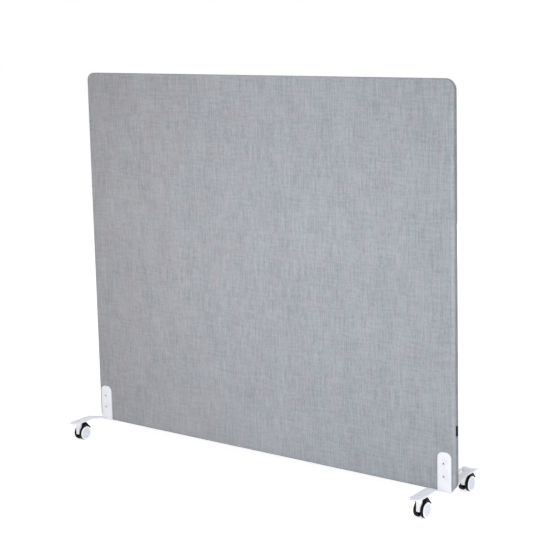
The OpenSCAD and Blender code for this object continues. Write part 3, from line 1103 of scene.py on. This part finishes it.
@dataclass
class Castor:
    """One twin-wheel castor, modelled about its swivel's centre line and then set in place.

    Attributes:
        trail: Distance of the axle behind the swivel.
        axle_z: Height of the axle.
        wheel_in: Where a wheel starts, from the castor's middle.
        wheel_w: Width of a wheel.
        wheel_r: Radius over the tread.
        face_t: Thickness of the white face at its rim.
        seat: Where the face's seat in the wheel lies, from the wheel's inner end.
        dish: How deep the disc's floor lies in the face.
        nose_drop: How far the housing's nose is drawn down below its skirt.
        nose_y: How far ahead of the swivel the nose starts.
        nose_z: Height over the axle below which the skirt is drawn.
        tread: Finish of the black wheels.
        nylon: Finish of the housing and the wheels' faces.
        disc: Finish of the pale discs.
        lever: Finish of the brake lever.
        steel: Finish of pintle and axle.
    """

    trail: float = 18 * MM
    axle_z: float = 26.5 * MM
    wheel_in: float = 7.0 * MM
    wheel_w: float = 13.5 * MM
    wheel_r: float = 26.5 * MM
    face_t: float = 2.0 * MM
    seat: float = 10.5 * MM
    dish: float = 1.6 * MM
    nose_drop: float = 4.0 * MM
    nose_y: float = 4.0 * MM
    nose_z: float = 5.0 * MM
    tread: WheelNylon = field(default_factory=WheelNylon)
    nylon: WhiteNylon = field(default_factory=WhiteNylon)
    disc: DiscNylon = field(default_factory=DiscNylon)
    lever: BlackNylon = field(default_factory=BlackNylon)
    steel: ZincPlatedSteel = field(default_factory=ZincPlatedSteel)

    @property
    def axle(self) -> Vector:
        """The axle's middle."""
        return Vector((0.0, self.trail, self.axle_z))

    @staticmethod
    def swivel(corner: Corner) -> Matrix:
        """Motion from the modelling place to a corner's swivel."""
        low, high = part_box(f"pintle_{corner.value}")
        return Matrix.Translation(Vector(((low.x + high.x) / 2, (low.y + high.y) / 2, 0.0)))

    def build(self) -> None:
        """Model each piece once, set copies on all four castors and remove the first ones."""
        rollers = {
            "wheel": (self.wheel(), "wheel_nylon"),
            "face": (self.face(), "white_nylon"),
            "cap": (self.cap(), "grey_disc"),
        }
        back = self.swivel(Corner.FRONT_LEFT).inverted()
        housing = softened("housing_front_left", 0.8 * MM, self.nylon, back)
        self.lower_nose(housing)
        fixed = {
            "pintle": (softened("pintle_front_left", 0.3 * MM, self.steel, back), "screen", "plated_steel"),
            "axle": (softened("axle_front_left", 0.4 * MM, self.steel, back), "swivel", "plated_steel"),
            "housing": (housing, "swivel", "white_nylon"),
            "brake_lever": (softened("brake_lever_front_left", 0.6 * MM, self.lever, back), "brake", "black_plastic"),
        }
        turn = Matrix.Translation(self.axle) @ Matrix.Rotation(math.pi, 4, "Z") @ Matrix.Translation(-self.axle)
        for corner in Corner:
            place = self.swivel(corner)
            for side in Side:
                motion = place if side is Side.RIGHT else place @ turn
                for kind, (master, slot) in rollers.items():
                    piece = moved_copy(master, f"{side.word}_{kind}_moulding_{corner.value}", motion)
                    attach(piece, f"{side.word}_roller_{corner.value}")
                    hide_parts(f"{side.word}_{kind}_{corner.value}")
            for kind, (master, body, slot) in fixed.items():
                piece = moved_copy(master, f"{kind}_detail_{corner.value}", place)
                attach(piece, body if body == "screen" else f"{body}_{corner.value}")
                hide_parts(f"{kind}_{corner.value}")
            LOG.info("castor %s dressed", corner.value)
        for entry in (*rollers.values(), *fixed.values()):
            bpy.data.objects.remove(entry[0])

    def lower_nose(self, housing: Piece) -> None:
        """Draw the front of the housing's skirt down, so that the nose ends lower than the skirt behind it.

        Args:
            housing: The housing.
        """
        mesh = edit(housing)
        for vert in mesh.verts:
            vert.select_set(vert.co.y < -self.nose_y and vert.co.z < self.axle_z + self.nose_z)
        mesh.select_flush_mode()
        bmesh.update_edit_mesh(housing.data)
        bpy.ops.transform.translate(value=(0.0, 0.0, -self.nose_drop))
        leave_edit()

    def lathed(self, name: str, profile: Iterable[Span], finish: Finish) -> Piece:
        """Turn a wheel piece on the axle and give it its finish.

        Args:
            name: The piece's name.
            profile: Its section, as points (distance from the wheel's inner end, radius).
            finish: Its finish.

        Returns:
            The piece.
        """
        piece = turned(name, [(self.wheel_in + x, r) for x, r in profile], self.axle)
        finish_piece(piece, finish)
        return piece

    def wheel(self) -> Piece:
        """Turn the black wheel: hub, web and tread ring in one, with fine mould-parting steps across the tread.

        Returns:
            The wheel.
        """
        tread_w, seat, bore = self.wheel_w - self.face_t, self.seat, 3.05 * MM
        pocket, rebate = self.wheel_r - 6.8 * MM, 21.9 * MM
        shoulder = arc((2.5 * MM, self.wheel_r - 2.5 * MM), 2.5 * MM, 180.0, 90.0, 7)
        edge = arc((tread_w - 0.6 * MM, self.wheel_r - 0.6 * MM), 0.6 * MM, 90.0, 0.0, 4)
        profile = [
            (0.0, bore), (0.0, 8.6 * MM), (0.4 * MM, 9.0 * MM), (seat - 2.6 * MM, 9.0 * MM),
            (seat - 2.0 * MM, 9.6 * MM), (seat - 2.0 * MM, pocket - 0.6 * MM), (seat - 2.6 * MM, pocket),
            (0.5 * MM, pocket), (0.0, pocket + 0.5 * MM), *shoulder,
            (5.4 * MM, self.wheel_r), (5.6 * MM, self.wheel_r - 0.15 * MM), (5.8 * MM, self.wheel_r), *edge,
            (tread_w, rebate), (seat, rebate), (seat, bore),
        ]
        return self.lathed("wheel_master", profile, self.tread)

    def face(self) -> Piece:
        """Turn the white face: a flat ring with a rounded rim, set back in its middle for the disc.

        Returns:
            The face.
        """
        face, tread_w, seat, spigot = self.wheel_w, self.wheel_w - self.face_t, self.seat, 21.7 * MM
        rim_r, recess = self.wheel_r - 0.8 * MM, 19.7 * MM
        rim = arc((face - 0.8 * MM, rim_r - 0.8 * MM), 0.8 * MM, 0.0, 90.0, 6)
        profile = [
            (seat, 0.0), (seat, spigot), (tread_w, spigot), (tread_w, rim_r), *reversed(rim),
            (face, recess + 0.4 * MM), (face - 0.15 * MM, recess + 0.1 * MM), (face - 0.5 * MM, recess),
            (face - self.dish, recess), (face - self.dish, 0.0),
        ]
        return self.lathed("face_master", profile, self.nylon)

    def cap(self) -> Piece:
        """Turn the disc in the wheel's face: a low rim, a shallow dish and a raised boss in its middle.

        Returns:
            The disc.
        """
        floor = self.wheel_w - self.dish
        steps = [
            (0.0, 0.0), (0.0, 19.5), (1.2, 19.5), (1.45, 19.25), (1.6, 18.7), (1.6, 16.0), (1.55, 15.4), (1.35, 14.4),
            (1.15, 13.4), (1.03, 12.4), (1.0, 11.5), (1.0, 4.6), (1.05, 4.0), (1.3, 3.3), (1.52, 2.7), (1.6, 2.2),
            (1.6, 0.0),
        ]
        return self.lathed("cap_master", [(floor + x * MM, r * MM) for x, r in steps], self.disc)


# ---------------------------------------------------------------- feet


@dataclass
class Feet:
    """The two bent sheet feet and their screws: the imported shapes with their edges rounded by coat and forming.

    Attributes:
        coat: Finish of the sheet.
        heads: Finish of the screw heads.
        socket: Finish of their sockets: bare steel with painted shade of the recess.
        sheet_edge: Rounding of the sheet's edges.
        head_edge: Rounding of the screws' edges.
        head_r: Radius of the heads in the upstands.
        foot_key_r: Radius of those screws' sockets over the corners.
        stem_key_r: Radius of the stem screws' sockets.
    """

    coat: PowderCoatedSteel = field(default_factory=PowderCoatedSteel)
    heads: EnamelledSteel = field(default_factory=EnamelledSteel)
    socket: ScrewSocket = field(default_factory=ScrewSocket)
    sheet_edge: float = 0.7 * MM
    head_edge: float = 0.25 * MM
    head_r: float = 5.4 * MM
    foot_key_r: float = 2.2 * MM
    stem_key_r: float = 1.6 * MM

    def build(self) -> None:
        """Round and dress both feet and both sets of screws."""
        sockets = {
            "foot_screws": (self.foot_screw_lines(), 1, self.foot_key_r),
            "stem_screws": ([Castor.swivel(corner).translation for corner in Corner], 2, self.stem_key_r),
        }
        for node, edge, finish, slot in (
            ("foot_left", self.sheet_edge, self.coat, "powder_coat"),
            ("foot_right", self.sheet_edge, self.coat, "powder_coat"),
            ("foot_screws", self.head_edge, self.heads, "screw_coat"),
            ("stem_screws", self.head_edge, self.heads, "screw_coat"),
        ):
            piece = softened(node, edge, finish, Matrix.Identity(4))
            piece.name = piece.data.name = f"{node}_coated"
            if node in sockets:
                # Painted shade: the faces inside the sockets are made near black
                self.blacken(piece, *sockets[node])
            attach(piece, "screen")
            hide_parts(node)
            LOG.info("%s: %d faces", piece.name, len(piece.data.polygons))

    def foot_screw_lines(self) -> list[Vector]:
        """Find the four screws in the upstands.

        Returns:
            A point on the centre line of each.
        """
        low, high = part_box("foot_screws")
        return [
            Vector((x, 0.0, z))
            for x in (low.x + self.head_r, high.x - self.head_r)
            for z in (low.z + self.head_r, high.z - self.head_r)
        ]

    def blacken(self, piece: Piece, lines: Iterable[Vector], axis: int, reach: float) -> None:
        """Give the faces inside the hexagon sockets the near-black finish of bare steel and painted shade of the
        recess.

        Args:
            piece: The screws.
            lines: A point on each screw's centre line.
            axis: Number of the axis that the screws lie along.
            reach: Radius of the socket.
        """
        piece.data.materials.append(self.socket.material())
        for face in piece.data.polygons:
            for line in lines:
                offset = face.center - line
                offset[axis] = 0.0
                if offset.length < reach:
                    face.material_index = 1


# ---------------------------------------------------------------- carried-over pieces and stage


def dress_nodes(frame: dict[str, Any]) -> None:
    """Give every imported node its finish, by its material slot.

    Args:
        frame: What the frame's load returned.
    """
    finishes: dict[str, Finish] = {
        "cover_fabric": MelangeCloth(),
        "wadding": PolyesterWadding(),
        "core_board": HoneycombBoard(),
        "timber": PlanedSpruce(),
        "tag_ribbon": WovenRibbon(),
        "insert_brass": TurnedBrass(),
        "powder_coat": PowderCoatedSteel(),
        "screw_coat": EnamelledSteel(),
        "plated_steel": ZincPlatedSteel(),
        "white_nylon": WhiteNylon(),
        "black_plastic": BlackNylon(),
        "wheel_nylon": WheelNylon(),
        "grey_disc": DiscNylon(),
    }
    for part in frame["record"]["subparts"]:
        node = frame["nodes"][part["node"]]
        material = finishes[part["material_slot"]].material()
        if not node.material_slots:
            node.data.materials.append(material)
        for slot in node.material_slots:
            slot.material = material


@dataclass(frozen=True)
class Lamp:
    """A square soft lamp.

    Attributes:
        name: Its name.
        place: Where its middle is.
        side: Length of its sides.
        watts: Its power.
        tint: Its colour, linear.
    """

    name: str
    place: Triple
    side: float
    watts: float
    tint: Triple

    def hang(self, aim: Vector) -> None:
        """Hang the lamp at its place.

        Args:
            aim: What it looks at.
        """
        data = bpy.data.lights.new(self.name, "AREA")
        data.size, data.energy, data.color = self.side, self.watts, self.tint
        lamp = bpy.data.objects.new(self.name, data)
        place = Vector(self.place)
        turn = (aim - place).to_track_quat("-Z", "Y").to_matrix().to_4x4()
        lamp.matrix_world = Matrix.Translation(place) @ turn
        bpy.context.scene.collection.objects.link(lamp)


@dataclass
class Studio:
    """Floor, lamps, world and camera.

    Attributes:
        eye: The camera's place, from the panel's foot: along the panel, across it and up.
        yaw: Heading of the view from +y towards +x, in degrees.
        pitch: Slope of the view downwards, in degrees.
        roll: Turn of the picture, in degrees.
        focal: Focal length in pixels of the photograph.
        vanish: Where the picture's axis meets the image, in pixels.
        sensor_mm: Width of the camera's sensor, in millimetres.
        aim: What the lamps look at.
        lamps: A large lamp at the right, a small one overhead, a warmer one at the left to fill, and two
            low ones behind that lift the rear arm and the back.
    """

    eye: Triple = (2.91236, -3.66745, 1.56216)
    yaw: float = -34.629
    pitch: float = 7.9328
    roll: float = -0.9474
    focal: float = 1344.113
    vanish: Span = (344.0, 200.0)
    sensor_mm: float = 36.0
    aim: Triple = (0.0, 0.0, 0.6)
    lamps: tuple[Lamp, ...] = (
        Lamp("key_lamp", (5.0, -2.8, 1.6), 2.4, 154.0, (0.94, 0.985, 1.0)),
        Lamp("over_lamp", (0.4, -2.0, 4.4), 2.0, 56.0, (1.0, 0.985, 0.985)),
        Lamp("fill_lamp", (-3.0, -3.8, 1.8), 2.6, 33.0, (1.0, 0.92, 0.87)),
        Lamp("back_lamp", (3.6, 2.2, 0.9), 2.4, 8.0, (0.98, 0.97, 1.0)),
        Lamp("behind_lamp", (-1.8, 5.4, 0.5), 0.9, 38.0, (1.0, 0.96, 1.0)),
    )

    def build(self, origin: Vector) -> None:
        """Build the stage.

        Args:
            origin: The panel's lower edge, at its middle and on its front face.
        """
        bpy.context.scene.view_settings.view_transform = "Standard"
        self.add_camera(origin)
        self.add_floor()
        self.add_world()
        for lamp in self.lamps:
            lamp.hang(Vector(self.aim))
        LOG.info("stage built, %d lamps", len(self.lamps))

    def add_camera(self, origin: Vector) -> None:
        """Set the camera at the photograph's viewpoint.

        Args:
            origin: The place that the eye is measured from.
        """
        yaw, pitch, roll = (math.radians(a) for a in (self.yaw, self.pitch, self.roll))
        level = Vector((math.sin(yaw), math.cos(yaw), 0.0))
        ahead = level * math.cos(pitch) - Vector((0, 0, 1)) * math.sin(pitch)
        up = Vector((0, 0, 1)) * math.cos(pitch) + level * math.sin(pitch)
        right = Vector((math.cos(yaw), -math.sin(yaw), 0.0))
        right, up = right * math.cos(roll) + up * math.sin(roll), up * math.cos(roll) - right * math.sin(roll)
        data = bpy.data.cameras.new("photo_camera")
        data.sensor_width = self.sensor_mm
        data.lens = self.focal / IMAGE_SIDE * self.sensor_mm
        data.shift_x = (IMAGE_SIDE / 2 - self.vanish[0]) / IMAGE_SIDE
        data.shift_y = (self.vanish[1] - IMAGE_SIDE / 2) / IMAGE_SIDE
        data.clip_end = 100.0
        camera = bpy.data.objects.new("photo_camera", data)
        turn = Matrix((right, up, -ahead)).transposed().to_4x4()
        camera.matrix_world = Matrix.Translation(origin + Vector(self.eye)) @ turn
        bpy.context.scene.collection.objects.link(camera)
        bpy.context.scene.camera = camera

    def add_floor(self) -> None:
        """Lay a seamless white floor that keeps the soft shadow of the castors."""
        clear_selection()
        bpy.ops.mesh.primitive_plane_add(size=60.0, location=(0.0, 0.0, 0.0))
        floor = bpy.context.active_object
        floor.name = "studio_floor"
        material = bpy.data.materials.new("studio_floor_paint")
        material.use_nodes = True
        tree = material.node_tree
        tree.nodes.clear()
        paint = add_node(tree, "ShaderNodeBsdfDiffuse", {"Color": linear("#f4f4f4")})
        glow = add_node(tree, "ShaderNodeEmission", {"Color": (1, 1, 1, 1), "Strength": 0.6})
        seen = add_node(tree, "ShaderNodeAddShader", {0: paint.outputs[0], 1: glow.outputs[0]})
        self.show(tree, "ShaderNodeOutputMaterial", paint, seen)
        floor.data.materials.append(material)

    def add_world(self) -> None:
        """Set an even, dim world that shows as white."""
        world = bpy.data.worlds.new("studio_world")
        bpy.context.scene.world = world
        world.use_nodes = True
        tree = world.node_tree
        tree.nodes.clear()
        light = add_node(tree, "ShaderNodeBackground", {"Color": linear("#fdfcff"), "Strength": 0.45})
        white = add_node(tree, "ShaderNodeBackground", {"Color": (1, 1, 1, 1), "Strength": 1.0})
        self.show(tree, "ShaderNodeOutputWorld", light, white)

    def show(self, tree: Tree, output: str, lit: Node, seen: Node) -> None:
        """Let one shader light the object, and another be what the eye, a gloss or clear stuff shows.

        Args:
            tree: The tree.
            output: Type of its output node.
            lit: The shader that lights the object.
            seen: The shader that is seen.
        """
        path = add_node(tree, "ShaderNodeLightPath")
        share = path.outputs["Is Camera Ray"]
        for kind in ("Is Glossy Ray", "Is Transmission Ray"):
            either = {0: share, 1: path.outputs[kind]}
            share = add_node(tree, "ShaderNodeMath", either, operation="MAXIMUM").outputs[0]
        mix = add_node(tree, "ShaderNodeMixShader", {0: share, 1: lit.outputs[0], 2: seen.outputs[0]})
        add_node(tree, output, {"Surface": mix.outputs[0]})


def main() -> None:
    """Build the dressed partition and its stage."""
    logging.basicConfig(level=logging.INFO, format="%(name)s: %(message)s")
    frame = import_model()
    dress_nodes(frame)
    panel = UpholsteredPanel()
    low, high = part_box("front_cover")
    Studio().build(Vector(((low.x + high.x) / 2, low.y, low.z)))
    panel.build()
    Feet().build()
    Castor().build()


if __name__ == "__main__":
    main()
